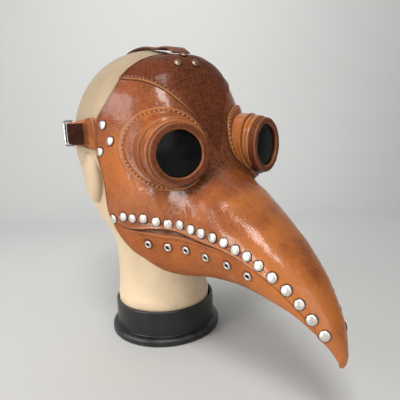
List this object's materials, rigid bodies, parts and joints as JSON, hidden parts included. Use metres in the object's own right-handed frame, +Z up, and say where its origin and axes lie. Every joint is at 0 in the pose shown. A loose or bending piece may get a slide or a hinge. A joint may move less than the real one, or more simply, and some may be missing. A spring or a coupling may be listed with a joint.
{
  "type": "plague doctor beak mask on display head",
  "caption": "Moulded leather beak mask with round goggles, rivets and buckled straps, worn by a smooth display head on a round black base.",
  "frame": {"origin": "centre of the base's underside, on the surface it stands on", "axes": "+Z up, beak points to -Y, the wearer's right side is -X"},
  "size_m": [0.171, 0.3385, 0.2953],
  "materials": {
    "forehead_leather": "polished dark red-brown leather",
    "tan_leather": "polished orange-brown leather",
    "rim_leather": "dark polished leather",
    "dark_strap_leather": "dark brown strap leather",
    "rivet_nickel": "bright nickel",
    "crown_rivet_metal": "dull aged metal",
    "lens_dark": "near-black gloss",
    "head_cream": "cream, soft satin",
    "base_black": "black satin"
  },
  "bodies": {
    "root": {"forehead_panel": "forehead_leather", "cheek_beak_panel": "tan_leather", "jaw_panel": "tan_leather", "eye_disc_right": "tan_leather", "goggle_tube_right": "tan_leather", "goggle_rim_right": "rim_leather", "lens_right": "lens_dark", "eye_disc_left": "tan_leather", "goggle_tube_left": "tan_leather", "goggle_rim_left": "rim_leather", "lens_left": "lens_dark", "side_strap_right": "tan_leather", "side_strap_left": "dark_strap_leather", "crown_strap": "dark_strap_leather", "buckle_frame": "rivet_nickel", "display_head": "head_cream", "base": "base_black", "temple_rivet_right_1": "rivet_nickel", "temple_rivet_right_2": "rivet_nickel", "temple_rivet_right_3": "rivet_nickel", "vent_eyelet_right_1": "rivet_nickel", "vent_eyelet_right_2": "rivet_nickel", "vent_eyelet_right_3": "rivet_nickel", "vent_eyelet_right_4": "rivet_nickel", "vent_eyelet_right_5": "rivet_nickel", "vent_eyelet_right_6": "rivet_nickel", "temple_rivet_left_1": "rivet_nickel", "temple_rivet_left_2": "rivet_nickel", "temple_rivet_left_3": "rivet_nickel", "vent_eyelet_left_1": "rivet_nickel", "vent_eyelet_left_2": "rivet_nickel", "vent_eyelet_left_3": "rivet_nickel", "vent_eyelet_left_4": "rivet_nickel", "vent_eyelet_left_5": "rivet_nickel", "vent_eyelet_left_6": "rivet_nickel", "crown_rivet_1": "crown_rivet_metal", "crown_rivet_2": "crown_rivet_metal", "crown_rivet_3": "crown_rivet_metal"}
  },
  "joints": []
}
